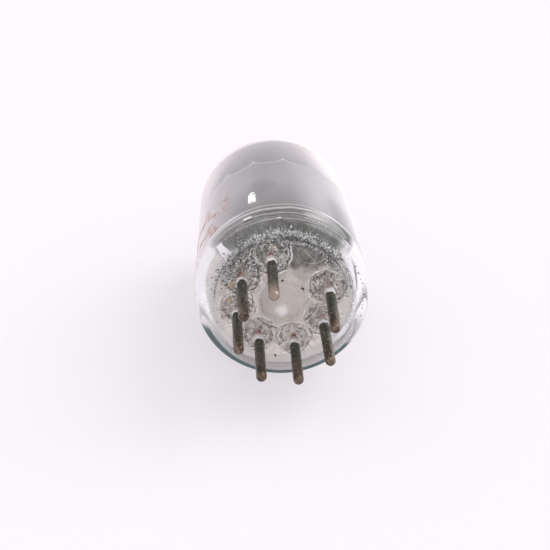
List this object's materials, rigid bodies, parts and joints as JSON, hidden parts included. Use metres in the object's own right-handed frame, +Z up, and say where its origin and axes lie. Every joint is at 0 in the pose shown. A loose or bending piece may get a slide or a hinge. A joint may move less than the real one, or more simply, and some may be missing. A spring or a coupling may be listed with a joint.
{
  "type": "miniature vacuum tube",
  "caption": "Small glass radio tube lying on its side: a clear domed bulb closed by a glass button with a ring of stiff pins, with a caged electrode stack inside.",
  "frame": {"origin": "centre of the flat outer face of the glass button, on the tube's axis", "axes": "+Y along the tube's axis from the pins to the domed end, so the pins point along -Y; +Z up, with the tube lying on its side; X across it"},
  "size_m": [0.0178, 0.0441, 0.0178],
  "materials": {
    "clear_glass": "clear, glossy",
    "pin_alloy": "dark, oxidised nickel alloy",
    "copper_clad_wire": "reddish oxidised copper",
    "nickel": "satin nickel",
    "molybdenum": "drawn wire",
    "white_coating": "matt white oxide",
    "carbonised_nickel": "matt dark grey",
    "mica": "translucent, pearly",
    "getter_steel": "dull steel",
    "getter_mirror": "dark silvery mirror film"
  },
  "bodies": {
    "root": {"glass_bulb": "clear_glass", "button_stem": "clear_glass", "pin_1": "pin_alloy", "pin_2": "pin_alloy", "pin_3": "pin_alloy", "pin_4": "pin_alloy", "pin_5": "pin_alloy", "pin_6": "pin_alloy", "pin_7": "pin_alloy", "seal_wire_1": "copper_clad_wire", "seal_wire_2": "copper_clad_wire", "seal_wire_3": "copper_clad_wire", "seal_wire_4": "copper_clad_wire", "seal_wire_5": "copper_clad_wire", "seal_wire_6": "copper_clad_wire", "seal_wire_7": "copper_clad_wire", "inner_lead_1": "nickel", "inner_lead_2": "nickel", "inner_lead_3": "nickel", "inner_lead_4": "nickel", "inner_lead_5": "nickel", "inner_lead_6": "nickel", "inner_lead_7": "nickel", "lower_mica": "mica", "upper_mica": "mica", "control_grid_rod_1": "copper_clad_wire", "control_grid_rod_2": "copper_clad_wire", "control_grid_winding": "molybdenum", "screen_grid_rod_1": "nickel", "screen_grid_rod_2": "nickel", "screen_grid_winding": "molybdenum", "suppressor_grid_rod_1": "nickel", "suppressor_grid_rod_2": "nickel", "suppressor_grid_winding": "molybdenum", "cathode_sleeve": "nickel", "cathode_coating": "white_coating", "cathode_tab": "nickel", "heater": "white_coating", "heater_tab_1": "nickel", "heater_tab_2": "nickel", "anode_front": "carbonised_nickel", "anode_back": "carbonised_nickel", "shield_can": "nickel", "getter_ring": "getter_steel", "getter_support": "nickel", "getter_film": "getter_mirror"}
  },
  "joints": []
}
